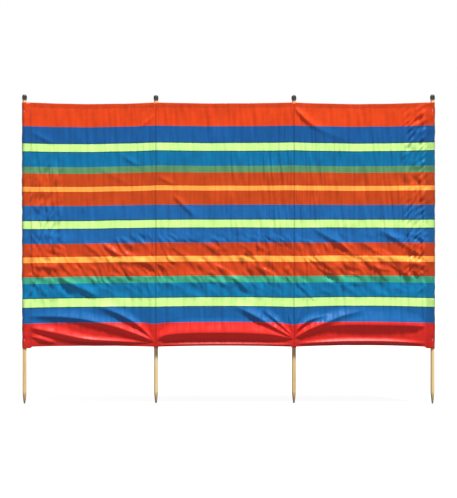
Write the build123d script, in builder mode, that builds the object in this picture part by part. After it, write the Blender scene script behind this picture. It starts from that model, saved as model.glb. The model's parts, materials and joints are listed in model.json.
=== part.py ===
from build123d import *

import os
from math import asin, cos, radians, sin

# A beach windbreak: three bays of striped cloth on four pointed wooden poles.
# The origin is on the blunt tip of the first pole. +X runs along the cloth, whose front faces -Y.
# The end poles stand in the plane of the cloth. Each inner pole hangs behind it in a sleeve, which a
# stitched neck joins to the cloth, and the cloth folds at that seam.

# Where the poles and the cloth are
POLE_SPANS = (645, 680, 680)  # from each pole to the next
CLOTH_BOTTOM = 280
CLOTH_TOP = 1480

# Poles
POLE_RADIUS = 10
POLE_LENGTH = 1512
POINT_LENGTH = 52  # the turned point that goes into the sand
POINT_RADIUS = 4  # its blunt end
POLE_CHAMFER = 2  # round the top edge

# Caps
CAP_WALL = 2
CAP_GRIP = 16  # the length of pole inside a cap
CAP_HEIGHT = 24
CAP_CURVE = 0, 30, 60  # degrees round its rounded shoulder, from the wall to the flat crown
CAP_LIP = 0.6  # the lip stands out round the mouth
CAP_LIP_HEIGHT = 3

# Cloth
CLOTH = 0.8  # one layer
BELLY = 8  # each bay bows back in its middle
TOP_SAG = 6  # its top edge hangs down between the poles
BOTTOM_RISE = 4  # its bottom edge is drawn up between them
HEM = 22
SEAM_GAP = 2.4  # from a fold line to the edge of the bay beside it
HEM_GAP = 6  # from a seam to the end of a hem

# Sleeves
SETBACK = 28  # from the seam to the axis of its pole
NECK = 6  # the stitches hold the two layers flat together over this length
NECK_FILLET = 0.2  # the inside radius where the layers part
SLEEVE_DROP = 8  # a sleeve reaches this far below the cloth

pole_x = [sum(POLE_SPANS[:count]) for count in range(len(POLE_SPANS) + 1)]
last = len(pole_x) - 1
pole_y = [SETBACK if 0 < i < last else 0 for i in range(last + 1)]
seam_x = [pole_x[0] + SETBACK, *pole_x[1:last], pole_x[last] - SETBACK]


def upright(x, y, z):
    """A plane that stands at a point and is drawn on from the front, with +Z as its own up."""
    return Plane(origin=(x, y, z), x_dir=(1, 0, 0), z_dir=(0, -1, 0))


def make_pole(x, y):
    """A turned dowel with a blunt point at its foot and an eased edge at its top."""
    with BuildPart() as pole:
        with BuildSketch(upright(x, y, 0)):
            with BuildLine():
                Polyline(
                    (0, 0),
                    (POINT_RADIUS, 0),
                    (POLE_RADIUS, POINT_LENGTH),
                    (POLE_RADIUS, POLE_LENGTH),
                    (0, POLE_LENGTH),
                    close=True,
                )
            make_face()
        revolve(axis=Axis((x, y, 0), (0, 0, 1)))
        chamfer(pole.edges().sort_by(Axis.Z)[-1], POLE_CHAMFER)
    return pole.part


def make_cap(x, y):
    """A plastic cup over the top of a pole, with a rounded shoulder and a lip round its mouth."""
    cap_radius = POLE_RADIUS + CAP_WALL
    lip_radius = cap_radius + CAP_LIP
    angles = [radians(degrees) for degrees in CAP_CURVE]
    centre = CAP_HEIGHT - cap_radius * sin(angles[-1])
    shoulder = [(cap_radius * cos(a), centre + cap_radius * sin(a)) for a in angles]
    with BuildPart() as cap:
        with BuildSketch(upright(x, y, POLE_LENGTH - CAP_GRIP)):
            with BuildLine():
                Polyline(
                    (lip_radius, 0),
                    (lip_radius, CAP_LIP_HEIGHT),
                    (cap_radius, CAP_LIP_HEIGHT + CAP_LIP),
                    *shoulder,
                    (0, CAP_HEIGHT),
                    (0, CAP_GRIP),
                    (POLE_RADIUS, CAP_GRIP),
                    (POLE_RADIUS, 0),
                    close=True,
                )
            make_face()
        revolve(axis=Axis((x, y, 0), (0, 0, 1)))
    return cap.part


def make_sleeve(plane, folds):
    """A pole's cloth sleeve: a drop-shaped tube, drawn from its seam at the plane's origin.

    Where the cloth folds at the seam, the neck ends in a round edge on the fold line.
    """
    outside = (POLE_RADIUS + CLOTH, NECK, CLOTH, Mode.ADD)
    inside = (POLE_RADIUS, NECK + 2 * NECK_FILLET, NECK_FILLET, Mode.SUBTRACT)
    with BuildPart() as sleeve:
        with BuildSketch(plane):
            for radius, tip, tip_radius, mode in (outside, inside):
                slope = asin((radius - tip_radius) / (SETBACK - tip))
                with BuildLine():
                    right = Line(
                        (tip_radius * cos(slope), tip - tip_radius * sin(slope)),
                        (radius * cos(slope), SETBACK - radius * sin(slope)),
                    )
                    left = mirror(right, about=Plane.YZ).edge()
                    ThreePointArc(right @ 1, (0, SETBACK + radius), left @ 1)
                    ThreePointArc(right @ 0, (0, tip - tip_radius), left @ 0)
                make_face(mode=mode)
            with Locations((0, NECK / 2)):
                Rectangle(2 * CLOTH, NECK)
            if folds:
                Circle(CLOTH)
        extrude(amount=CLOTH_TOP - CLOTH_BOTTOM + SLEEVE_DROP)
    return sleeve.part


def make_cloth(bay, ends, front, edges, bends):
    """One layer of cloth: bowed back in plan from seam to seam, then cut to its outline.

    The outline runs from one of the ends to the other, with a bend up in each of its long edges.
    """
    left, right = bay
    bottom, top = edges
    bottom_bend, top_bend = bends
    middle = (left + right) / 2
    back = front + CLOTH
    with BuildPart() as cloth:
        with BuildSketch():
            with BuildLine():
                near = ThreePointArc((left, front), (middle, front + BELLY), (right, front))
                far = ThreePointArc((left, back), (middle, back + BELLY), (right, back))
                Line(near @ 0, far @ 0)
                Line(near @ 1, far @ 1)
            make_face()
        extrude(amount=top)
        with BuildSketch(Plane.XZ):
            with BuildLine():
                lower = ThreePointArc((left, bottom), (middle, bottom + bottom_bend), (right, bottom))
                upper = ThreePointArc((left, top), (middle, top + top_bend), (right, top))
                Line(lower @ 0, upper @ 0)
                Line(lower @ 1, upper @ 1)
            make_face()
            with Locations((sum(ends) / 2, 0)):
                Rectangle(ends[1] - ends[0], 2 * top, mode=Mode.INTERSECT)
        extrude(amount=2 * BELLY, both=True, mode=Mode.INTERSECT)
    return cloth.part


def write(part, name):
    """Labels a finished piece and writes it under its own name."""
    part.label = name
    export_step(part, f"parts/{name}.step")


os.makedirs("parts", exist_ok=True)

for i, x in enumerate(pole_x):
    turn = 90 if i == 0 else -90 if i == last else 0
    seam = Plane(Location((seam_x[i], 0, CLOTH_BOTTOM - SLEEVE_DROP), (0, 0, turn)))
    write(make_pole(x, pole_y[i]), f"pole_{i + 1}")
    write(make_cap(x, pole_y[i]), f"cap_{i + 1}")
    write(make_sleeve(seam, 0 < i < last), f"sleeve_{i + 1}")

sheet_front = -CLOTH / 2
hem_front = CLOTH / 2
for i in range(last):
    bay = seam_x[i], seam_x[i + 1]
    sheet_ends = bay[0] + (SEAM_GAP if i > 0 else 0), bay[1] - (SEAM_GAP if i + 1 < last else 0)
    hem_ends = bay[0] + HEM_GAP, bay[1] - HEM_GAP
    sheet_edges, sheet_bends = (CLOTH_BOTTOM, CLOTH_TOP), (BOTTOM_RISE, -TOP_SAG)
    top_edges, top_bends = (CLOTH_TOP - HEM, CLOTH_TOP), (-TOP_SAG, -TOP_SAG)
    bottom_edges, bottom_bends = (CLOTH_BOTTOM, CLOTH_BOTTOM + HEM), (BOTTOM_RISE, BOTTOM_RISE)
    write(make_cloth(bay, sheet_ends, sheet_front, sheet_edges, sheet_bends), f"panel_{i + 1}")
    write(make_cloth(bay, hem_ends, hem_front, top_edges, top_bends), f"top_hem_{i + 1}")
    write(make_cloth(bay, hem_ends, hem_front, bottom_edges, bottom_bends), f"bottom_hem_{i + 1}")
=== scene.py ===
# %% [markdown]
# # A beach windbreak in Blender
# A windbreak is a long strip of striped cloth, held upright by wooden poles that are pushed into the sand.
# The CAD model gives its size and its joints. This lesson gives it what a camera sees: creased cloth with
# hems and stitches, pine poles, moulded caps, and the light of a plain studio.

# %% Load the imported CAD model
import json
import math

import bpy
import numpy as np
from mathutils import Matrix, Vector


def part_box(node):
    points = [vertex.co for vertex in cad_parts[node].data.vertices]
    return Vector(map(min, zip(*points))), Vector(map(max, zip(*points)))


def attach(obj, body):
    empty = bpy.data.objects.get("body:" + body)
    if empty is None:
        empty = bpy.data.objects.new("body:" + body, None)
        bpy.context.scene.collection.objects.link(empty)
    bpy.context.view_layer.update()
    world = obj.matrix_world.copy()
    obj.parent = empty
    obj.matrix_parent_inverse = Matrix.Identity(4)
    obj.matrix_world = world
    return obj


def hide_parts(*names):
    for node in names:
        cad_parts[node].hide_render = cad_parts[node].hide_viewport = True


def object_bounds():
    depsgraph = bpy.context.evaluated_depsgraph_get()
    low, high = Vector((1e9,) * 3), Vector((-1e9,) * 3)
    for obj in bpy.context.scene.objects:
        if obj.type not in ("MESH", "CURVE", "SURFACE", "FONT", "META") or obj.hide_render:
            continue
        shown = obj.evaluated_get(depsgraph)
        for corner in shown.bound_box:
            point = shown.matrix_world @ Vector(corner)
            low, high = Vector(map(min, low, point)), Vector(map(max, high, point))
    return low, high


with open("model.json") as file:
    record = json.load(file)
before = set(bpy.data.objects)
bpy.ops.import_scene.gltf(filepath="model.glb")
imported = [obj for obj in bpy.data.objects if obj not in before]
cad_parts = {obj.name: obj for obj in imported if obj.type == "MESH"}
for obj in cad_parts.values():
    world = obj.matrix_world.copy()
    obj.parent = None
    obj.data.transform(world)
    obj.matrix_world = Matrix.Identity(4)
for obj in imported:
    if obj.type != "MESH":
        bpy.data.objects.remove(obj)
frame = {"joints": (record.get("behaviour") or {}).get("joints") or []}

cad_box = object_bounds()
print("CAD box in metres:", [[round(c, 4) for c in corner] for corner in cad_box])

# %% [markdown]
# ## Where things are
# Nothing is placed by eye. The poles, sleeves and seams come from the CAD nodes and joints, so the pieces
# made here sit where the CAD pieces sat and turn on the same lines. Cloth is worked out in millimetres,
# because its folds and stitches are that small, and Blender gets it in metres.

# %% Measure the poles
MM = 0.001
POLES = 4
pole_boxes = [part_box(f"pole_{n + 1}") for n in range(POLES)]
pole_axes = [((low.x + high.x) / 2, (low.y + high.y) / 2) for low, high in pole_boxes]
axes_mm = [(x / MM, y / MM) for x, y in pole_axes]
pole_radius = (pole_boxes[0][1].x - pole_boxes[0][0].x) / 2
pole_top = pole_boxes[0][1].z
cap_low, cap_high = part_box("cap_1")
print("poles at", [(round(x, 3), round(y, 3)) for x, y in pole_axes])

# %% Measure the cloth
CAD_CLOTH = 0.8  # how thick the CAD's sheets are, in mm
joint_x = {joint["name"]: joint["pos_m"][0] / MM for joint in frame["joints"]}
fold_lines = joint_x["seam_2_fold"], joint_x["seam_3_fold"]
first_panel, middle_panel, last_panel = (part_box(f"panel_{n}") for n in (1, 2, 3))
end_seams = first_panel[0].x / MM, last_panel[1].x / MM
bay_ends = [(end_seams[0], fold_lines[0]), fold_lines, (fold_lines[1], end_seams[1])]
belly = (middle_panel[1].y - middle_panel[0].y) / MM - CAD_CLOTH
cloth_bottom, cloth_top = first_panel[0].z, first_panel[1].z
cloth_height = cloth_top - cloth_bottom
height_mm = cloth_height / MM
sleeve_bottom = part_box("sleeve_1")[0].z
sleeve_drop = (cloth_bottom - sleeve_bottom) / MM
print("cloth from", round(cloth_bottom, 3), "to", round(cloth_top, 3))
print("bays in mm:", np.round(bay_ends, 1).tolist(), "and they bow back by", round(belly, 1))

# %% [markdown]
# ## Noise that folds like cloth
# Cloth creases along the pull in it, so its small wrinkles are long and thin and lie in one direction.
# A smooth random field does this when it is squeezed across the pull and stretched along it. Blender's
# Displace modifier could do it too, but a field in numpy can be faded by place, and it gives every run
# the same cloth.


# %% A smooth random field
NOISE_SIZE = 64  # the field repeats after this many units
NOISE_GAIN = 1.5  # brings its values to about -1 to 1


def field(u, w, seed):
    """Smooth random values from about -1 to 1, one hill or hollow for each unit of u and w."""
    turn = np.random.default_rng(seed).random((NOISE_SIZE, NOISE_SIZE)) * 2 * math.pi
    iu, iw = np.floor(u).astype(int), np.floor(w).astype(int)
    fu, fw = u - iu, w - iw

    def corner(du, dw):
        angle = turn[(iu + du) % NOISE_SIZE, (iw + dw) % NOISE_SIZE]
        return np.cos(angle) * (fu - du) + np.sin(angle) * (fw - dw)

    su, sw = (f * f * f * (f * (f * 6 - 15) + 10) for f in (fu, fw))
    low = corner(0, 0) * (1 - su) + corner(1, 0) * su
    high = corner(0, 1) * (1 - su) + corner(1, 1) * su
    return (low * (1 - sw) + high * sw) * NOISE_GAIN


print("field sample:", np.round(field(np.linspace(0, 2, 5), np.full(5, 0.4), 1), 3))


# %% Wrinkles, and where they are
def wrinkles(x, h, across, along, lean, seed):
    """Wrinkles that are across and along millimetres in size, and lean this many degrees from level."""
    angle = math.radians(lean)
    u = (x * math.cos(angle) + h * math.sin(angle)) / along
    w = (h * math.cos(angle) - x * math.sin(angle)) / across
    return field(u, w, seed)


def smooth(share):
    """From 0 to 1 as the share goes there, without a kink at either end."""
    return share * share * (3 - 2 * share)


def band(value, low, high, soft):
    """1 between low and high, and fading to 0 over soft on either side."""
    rise = np.clip((value - low) / soft + 1, 0, 1)
    fall = np.clip((high - value) / soft + 1, 0, 1)
    return smooth(rise) * smooth(fall)


print("a band from 1 to 2 that fades over 1:", band(np.arange(0, 3.5, 0.5), 1, 2, 1))

# %% [markdown]
# ## Single folds
# The folds that the eye picks out are placed one by one. Each is a crest line across the cloth, with a
# height and a width at each of its points. Its profile is a tight crest with two hollow flanks, as cloth
# under tension has, and the lower flank is the steeper one, because the cloth hangs. A negative height
# makes a valley.


# %% One fold along a line
UPPER_REACH, LOWER_REACH = 2.6, 1.5  # how far the two flanks go, in widths
HOLLOW = 1.7  # how hollow the flanks are
CREST = 0.07  # how round the crest is, in widths
THINNEST = 1.8  # the same in mm for the thinnest folds, which the grid still has to show


def curved(line):
    """Cuts a line's corners three times, which makes it a smooth curve."""
    for _ in range(3):
        cut = np.stack([0.75 * line[:-1] + 0.25 * line[1:], 0.25 * line[:-1] + 0.75 * line[1:]], 1)
        line = np.concatenate([line[:1], cut.reshape(-1, 4), line[-1:]])
    return line


def fold(x, h, line):
    """The lift that one fold gives the cloth, in mm. Its line's points are (x, height, lift, width)."""
    line = curved(np.array(line, float))
    begin, step = line[:-1], np.diff(line, axis=0)
    reach = UPPER_REACH * line[:, 3].max()
    near = (x > line[:, 0].min() - reach) & (x < line[:, 0].max() + reach)
    near &= (h > line[:, 1].min() - reach) & (h < line[:, 1].max() + reach)
    lift = np.zeros_like(x)
    if not near.any():
        return lift
    px, ph = x[near][:, None] - begin[:, 0], h[near][:, None] - begin[:, 1]
    share = (px * step[:, 0] + ph * step[:, 1]) / (step[:, 0] ** 2 + step[:, 1] ** 2)
    share = np.clip(share, 0, 1)
    distance = np.hypot(px - share * step[:, 0], ph - share * step[:, 1])
    best = distance.argmin(1)[:, None]
    distance, share, ph, px = (np.take_along_axis(a, best, 1)[:, 0] for a in (distance, share, ph, px))
    best = best[:, 0]
    height = begin[best, 2] + share * step[best, 2]
    width = begin[best, 3] + share * step[best, 3]
    side = np.sign(step[best, 0] * ph - step[best, 1] * px) * np.sign(step[best, 0])
    width = width * np.where((side < 0) == (height > 0), LOWER_REACH, UPPER_REACH)
    width = np.maximum(width, 1)
    crest = np.maximum(CREST, THINNEST / width)
    ratio = np.sqrt((distance / width) ** 2 + crest ** 2) - crest
    lift[near] = height * np.clip(1 - ratio, 0, 1) ** HOLLOW
    return lift


sample = fold(np.array([0.0, 6.0, -6.0]), np.array([0.0, 3.0, -3.0]), [(-50, 0, 10, 8), (50, 0, 10, 8)])
print("a fold 10 mm high, on its crest and 3 mm to either side:", np.round(sample, 1))

# %% [markdown]
# ## The folds of this windbreak
# Where an inner pole's sleeve ends, it pulls the hem in, and folds fan out from there like rays. Halfway
# down, the cloth's own weight drags it to the right in slanting creases. Distances are in millimetres:
# x from the first pole, height from the bottom edge of the cloth.

# %% Folds of the first bay
bay_1_folds = [
    # rays that run left from the foot of the second pole's sleeve
    [(630, 27, 1, 4), (610, 38, 5, 7), (550, 60, 9, 12), (479, 85, 10, 15), (425, 101, 10, 16),
     (363, 117, 10, 16), (310, 129, 9, 17), (265, 138, 8, 18), (180, 148, 7, 18), (80, 152, 4, 17),
     (30, 152, 1, 12)],
    [(629, 38, 1, 4), (600, 68, 5, 7), (559, 106, 8, 10), (514, 134, 9, 13), (461, 160, 8, 15),
     (400, 186, 5, 17), (340, 205, 0, 17)],
    [(34, 98, 2, 12), (69, 87, 8, 14), (158, 66, 10, 16), (247, 44, 9, 13), (300, 33, 8, 10),
     (407, 25, 6, 8), (505, 21, 4, 7), (600, 19, 1, 5)],
    [(34, 52, 1, 7), (70, 42, 6, 10), (114, 27, 5, 9), (160, 13, 0, 8)],
    # slanting creases between the middle and the lowest lime stripe
    [(170, 432, 0, 8), (187, 404, 4, 10), (225, 362, 4.5, 11), (255, 335, 0, 10)],
    [(146, 366, 0, 10), (190, 334, 7, 15), (250, 301, 9, 21), (310, 273, 8, 19), (372, 246, 0, 14)],
    [(60, 372, 0, 10), (96, 346, 3, 12), (130, 316, 2.5, 12), (148, 292, 0, 10)],
    [(286, 522, 0, 8), (312, 498, 3.5, 11), (345, 474, 5, 14), (378, 444, 4, 13), (404, 422, 0, 10)],
    [(372, 512, 0, 8), (402, 488, 3.5, 11), (442, 466, 4.5, 13), (486, 448, 3, 12), (524, 434, 0, 8)],
    [(425, 424, 0, 10), (472, 424, 5, 17), (540, 420, 7, 20), (596, 412, 5.5, 17), (630, 398, 1, 8)],
    [(474, 404, 0, 6), (494, 388, 2.5, 7), (522, 366, 2.5, 7), (538, 350, 0, 6)],
    [(548, 406, 0, 6), (572, 390, 2.5, 7), (600, 368, 3, 7), (618, 348, 0, 6)],
    [(36, 512, 0, 5), (60, 472, 4, 7), (76, 436, 0, 5)],
    [(74, 508, 0, 5), (94, 468, 4, 7), (108, 434, 0, 5)],
    [(118, 506, 0, 5), (130, 468, 3, 7), (138, 432, 0, 5)],
    [(34, 396, 0, 5), (54, 368, 5, 8), (70, 336, 0, 6)],
    [(62, 408, 0, 5), (84, 378, 5, 8), (102, 342, 0, 6)],
    [(100, 410, 0, 6), (120, 382, 5, 8), (138, 348, 0, 6)],
    [(136, 408, 0, 6), (154, 384, 4, 8), (170, 352, 0, 6)],
    [(30, 404, 0, 10), (60, 401, 6, 16), (110, 398, 7, 18), (150, 391, 5, 15), (178, 380, 0, 10)],
    # faint drag lines in the upper half
    [(470, 955, 0, 8), (500, 930, 3, 10), (540, 905, 3, 10), (580, 885, 0, 8)],
    [(30, 1062, 0, 6), (70, 1040, 3, 9), (120, 1015, 2.4, 9), (160, 1000, 0, 6)],
    [(30, 712, 0, 6), (60, 680, 2.4, 9), (100, 650, 2, 9), (140, 625, 0, 7)],
    [(560, 1080, 0, 7), (600, 1105, 2.4, 8), (636, 1130, 1.5, 6)],
    [(330, 900, 0, 12), (400, 866, 1.6, 14), (470, 822, 1.6, 14), (540, 790, 0, 12)],
    [(560, 1176, 0, 8), (600, 1186, 1.4, 9), (640, 1192, 0.6, 6)],
    # upright creases beside the first pole
    [(60, 866, 0, 5), (62, 830, 4, 6), (61, 770, 4, 6), (60, 706, 0, 5)],
    [(89, 866, 0, 5), (87, 830, 4, 6), (85, 790, 3, 6), (84, 746, 0, 5)],
    [(161, 874, 0, 6), (160, 838, 5, 8), (158, 800, 5, 8), (156, 764, 0, 6)],
    [(112, 706, 0, 5), (117, 676, 4.5, 8), (116, 640, 4, 8), (112, 612, 0, 5)],
    [(166, 706, 0, 5), (172, 676, 4.5, 8), (174, 640, 4, 8), (171, 612, 0, 5)],
    [(284, 716, 0, 5), (286, 690, 3, 6), (286, 662, 0, 5)],
]
print("bay 1 has", len(bay_1_folds), "placed folds")

# %% Folds of the second bay
bay_2_folds = [
    # the roll above the hem, and the rays that run left from the foot of the third pole's sleeve
    [(652, 32, 1, 5), (673, 50, 7, 12), (713, 60, 14, 22), (788, 64, 16, 27), (888, 65, 16, 28),
     (989, 65, 16, 28), (1089, 64, 15, 27), (1189, 60, 13, 23), (1240, 54, 10, 16), (1290, 45, 5, 8),
     (1316, 40, 1, 4)],
    [(662, 7, 1, 5), (760, 6, 5, 8), (989, 6, 6, 8), (1240, 6, 5, 8), (1310, 8, 1, 5)],
    [(1316, 46, 1, 4), (1292, 60, 6, 8), (1234, 90, 10, 12), (1190, 114, 11, 15), (1145, 140, 11, 17),
     (1109, 160, 9, 17), (1065, 182, 4, 17), (1030, 196, 0, 17)],
    [(1316, 56, 1, 3), (1290, 84, 5, 6), (1246, 120, 7, 9), (1196, 160, 5, 11), (1160, 186, 0, 11)],
    [(1319, 80, 1, 3), (1311, 118, 4, 6), (1300, 160, 2, 7), (1294, 196, 0, 7)],
    # slanting creases
    [(862, 520, 0, 8), (892, 503, 3, 10), (925, 480, 4, 11), (957, 457, 3, 11), (986, 436, 0, 8)],
    [(1052, 508, 0, 9), (1088, 486, 4, 12), (1122, 458, 4, 12), (1148, 436, 0, 9)],
    [(1120, 512, 0, 8), (1152, 494, 3, 11), (1196, 466, 3, 11), (1226, 444, 0, 8)],
    [(872, 430, 0, 9), (892, 404, 4, 11), (926, 358, 5, 12), (962, 318, 4, 12), (992, 286, 0, 10)],
    [(812, 424, 0, 6), (828, 396, 3, 8), (846, 362, 2.5, 8), (858, 338, 0, 6)],
    [(1000, 364, 0, 10), (1036, 332, 4, 12), (1064, 304, 5, 12), (1090, 278, 4.5, 12),
     (1116, 250, 0, 10)],
    [(1100, 410, 0, 8), (1132, 398, 3, 9), (1164, 374, 3, 10), (1192, 350, 0, 8)],
    [(704, 500, 0, 8), (736, 480, 2.4, 10), (780, 452, 2.4, 10), (806, 436, 0, 8)],
    # a drag that starts at the second pole and breaks off, and one upright crest further on
    [(652, 838, 0, 6), (680, 824, 3, 8), (712, 808, 3, 9), (745, 790, 0, 8)],
    [(722, 748, 0, 7), (748, 728, 4, 9), (785, 692, 4, 10), (818, 658, 4, 9), (842, 634, 0, 7)],
    [(1020, 756, 0, 5), (1022, 722, 4, 6), (1023, 660, 4.5, 6), (1022, 620, 0, 5)],
    # upright creases beside the second pole
    [(673, 40, 0, 5), (674, 90, -3, 6), (673, 190, -2.6, 6), (675, 420, -1, 5), (674, 600, 0, 5)],
    [(692, 60, 0, 5), (693, 120, -2.6, 6), (692, 220, -2, 6), (692, 470, -1.2, 5), (694, 620, 0, 5)],
]
print("bay 2 has", len(bay_2_folds), "placed folds")

# %% Folds of the third bay
bay_3_folds = [
    # rays that run right from the foot of the third pole's sleeve, and the folds along the hem
    [(1332, 46, 1, 4), (1354, 60, 7, 8), (1397, 82, 12, 13), (1452, 102, 13, 17), (1500, 122, 11, 18),
     (1550, 143, 8, 18), (1610, 160, 5, 18), (1680, 176, 0, 18)],
    [(1331, 62, 1, 4), (1345, 96, 6, 7), (1380, 119, 8, 10), (1415, 133, 7, 12), (1460, 144, 3, 12),
     (1500, 152, 0, 12)],
    [(1331, 84, 1, 3), (1340, 128, 4, 6), (1358, 176, 2, 7), (1372, 206, 0, 7)],
    [(1440, 88, 0, 14), (1500, 98, 8, 26), (1560, 103, 12, 32), (1700, 104, 14, 33), (1850, 103, 13, 31),
     (1940, 101, 8, 20), (1970, 100, 0, 8)],
    [(1340, 13, 0.5, 3), (1400, 15, 4, 6), (1560, 19, 7, 8), (1700, 20, 7, 8), (1850, 18, 7, 8),
     (1960, 14, 1, 5)],
    # long slanting creases
    [(1404, 592, 0, 10), (1446, 564, 4, 14), (1518, 524, 6, 16), (1582, 484, 6, 16), (1620, 452, 4, 13),
     (1652, 424, 0, 9)],
    [(1640, 520, 0, 9), (1682, 500, 4, 12), (1722, 468, 5, 13), (1752, 434, 3, 10), (1768, 414, 0, 8)],
    [(1742, 580, 0, 10), (1786, 552, 4, 13), (1840, 518, 5.5, 15), (1892, 486, 5, 13), (1930, 460, 2, 10),
     (1950, 446, 0, 8)],
    [(1450, 428, 0, 8), (1480, 404, 4.5, 11), (1518, 372, 5, 12), (1550, 342, 4, 11), (1576, 318, 0, 9)],
    [(1694, 432, 0, 8), (1718, 408, 4.5, 11), (1742, 376, 5, 11), (1766, 342, 4, 10), (1784, 318, 0, 8)],
    [(1774, 424, 0, 8), (1808, 396, 4.5, 11), (1852, 370, 5, 12), (1896, 344, 4, 11), (1922, 326, 0, 8)],
    [(1334, 322, 0, 8), (1350, 302, 3, 10), (1386, 268, 4, 11), (1414, 240, 3, 10), (1434, 220, 0, 8)],
    [(1560, 420, 0, 8), (1590, 398, 3, 9), (1622, 368, 3, 9), (1646, 344, 0, 8)],
    # creases that lean the other way, beside the last pole
    [(1926, 438, 0, 6), (1948, 462, 6, 8), (1964, 484, 6, 8), (1976, 502, 2, 6)],
    [(1880, 413, 0, 10), (1905, 409, 6, 16), (1940, 406, 7, 17), (1966, 400, 4, 12), (1976, 396, 1, 8)],
    [(1920, 250, 0, 6), (1942, 272, 2.4, 7), (1962, 292, 2, 6), (1973, 302, 0, 5)],
    # the drag from the head of the third pole
    [(1330, 1172, 2, 5), (1352, 1148, 7, 9), (1390, 1112, 6, 11), (1436, 1078, 3, 13),
     (1520, 1040, 1.6, 16), (1610, 1010, 0, 18)],
    # the two deepest creases beside the last pole
    [(1936, 704, 0, 6), (1950, 726, 7, 9), (1966, 752, 8, 9), (1977, 770, 4, 6)],
    [(1888, 852, 0, 8), (1912, 826, -6, 11), (1940, 806, -5, 11), (1966, 796, 0, 7)],
    [(1938, 792, 0, 6), (1952, 812, 5, 8), (1967, 838, 5, 8), (1976, 852, 2, 6)],
]
# small creases all the way up beside the last pole
for height in (1172, 1138, 1096, 1050, 1012, 890, 690, 660, 630):
    bay_3_folds.append([(1918, height - 18, 0, 5), (1940, height, 3.6, 7),
                        (1962, height + 16, 3, 6), (1974, height + 24, 0, 5)])
print("bay 3 has", len(bay_3_folds), "placed folds")

# %% [markdown]
# ## All that moves the cloth out of its plane
# The placed folds are deepest near the bottom edge. They are laid over slanting drag creases low down,
# fine upright puckers that the loom and the rolled-up storage leave, crumples beside the two end poles,
# and a slow unevenness over the whole bay. In the calls below, wrinkles is given its size across and
# along, its lean and its seed, and band its two ends and how far it fades beyond them.

# %% Drag creases
LEAN = -54, -48, -41  # how the creases of each bay slope, in degrees
WANDER, WANDER_SIZE = 16, 80  # how far they stray from a straight line, and over what length
DRAG_CREASES = (42, 115, 5.4, 0, 11), (24, 75, 2.5, -8, 21)  # across, along, height, turn, seed


def ridges(noise, roundness):
    """Narrow crests where smooth noise goes through zero, with hollows between them."""
    return 1 - 2.2 * np.sqrt(noise * noise + roundness)


def drag_creases(bay, x, h, patches):
    """Slanting creases where the cloth's weight drags it to the right."""
    total = 4.5 * band(h, 270, 430, 50) * ridges(wrinkles(x, h, 60, 150, LEAN[bay], 15 + bay), 0.02)
    bent_x = x + WANDER * wrinkles(x, h, WANDER_SIZE, WANDER_SIZE, 0, 131 + bay)
    bent_h = h + WANDER * wrinkles(x, h, WANDER_SIZE, WANDER_SIZE, 0, 141 + bay)
    for across, along, height, turn, seed in DRAG_CREASES:
        crease = wrinkles(bent_x, bent_h, across, along, LEAN[bay] + turn, seed + bay)
        total += height * band(h, 330, 510, 70) * patches * ridges(crease, 0.015)
    return total


# %% Puckers, crumples and unevenness
def puckers(bay, x, h, patches):
    """Fine upright puckers, stronger on the right and beside the first pole."""
    busy = 0.6 + 0.9 * band(h, 380, 900, 160) * band(x, 1050, 2100, 250)
    busy += band(h, 300, 900, 120) * band(x, -50, 140, 60)
    busy *= 0.6 + 0.4 * patches
    fine = 3.6 * busy * wrinkles(x, h, 12, 110, 90, 31 + bay) * band(h, 110, 1150, 60)
    return fine + 5.2 * band(h, 120, 1130, 90) * wrinkles(x, h, 21, 200, 88, 41 + bay)


def crumples(x, h):
    """Close creases beside the first and the last pole."""
    by_first = band(x, -50, 150, 60) * band(h, 280, 860, 100)
    by_last = band(x, 1890, 2100, 60) * band(h, 370, 1150, 50)
    kinds = (by_first, 84, 151), (by_last, 52, 161)  # strength by place, lean and seed
    return 4.4 * sum(near * ridges(wrinkles(x, h, 19, 70, lean, seed), 0.02) for near, lean, seed in kinds)


def unevenness(bay, x, h):
    """A slow swell, the ripple of the hems and a fine roughness."""
    swell = 2.6 * wrinkles(x, h, 210, 330, 12, 61 + bay) * band(h, 60, 1150, 60)
    in_hems = band(h, 1176, 1300, 30) + band(h, -90, 24, 30)
    ripple = 0.6 * wrinkles(x, h, 18, 34, 90, 71 + bay) * in_hems
    return swell + ripple + 0.25 * wrinkles(x, h, 16, 30, 20, 51 + bay)


# %% The lift of the cloth
DEPTH = 1.35  # deepens all the placed folds
LOW_DEPTH = 0.25  # and deepens them further near the bottom edge
placed_folds = bay_1_folds, bay_2_folds, bay_3_folds


def lift(bay, x, h):
    """How far the cloth stands out to the front, in mm, for points in mm."""
    patches = 0.15 + 0.85 * band(wrinkles(x, h, 95, 150, LEAN[bay], 5 + bay), 0.05, 2, 0.3)
    depth = DEPTH + LOW_DEPTH * band(h, -90, 150, 60)
    total = depth * sum(fold(x, h, line) for line in placed_folds[bay])
    total += drag_creases(bay, x, h, patches) + puckers(bay, x, h, patches)
    return total + crumples(x, h) + unevenness(bay, x, h)


print("folds placed in the three bays:", [len(folds) for folds in placed_folds])

# %% [markdown]
# ## Room for the fold lines
# At the seams the cloth has to lie down, because it is sewn there, and beside a fold line it has to leave
# room for the next bay to swing. Cutting the folds off at a limit would leave flat tops with sharp rims, so
# each point is eased towards its limit with tanh, which never reaches it.

# %% Limits for the folds
ROOM_IN_FRONT = 0.6  # how far the cloth may stand out, as a share of the distance to a fold line
ROOM_BEHIND = 0.13  # the same to the back, where the sleeve is
MOST_IN_FRONT, MOST_BEHIND = 21, 14  # the limits elsewhere, in mm; the bow adds to the one in front
FLAT_EDGE = 1.2  # no fold comes nearer to a fold line than this
RISE_LENGTH = 4.5  # the folds rise over about this length from there
END_ROOM = 9  # an end sleeve's seam has as much room as a place this far from a fold line
PUFF, END_PUFF, PUFF_PLACE = 1.5, 0.4, 5.5  # the cloth puffs out this far, at this distance from a seam
TINY = 1e-6  # keeps a limit from being zero, because the lift is divided by it


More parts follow.
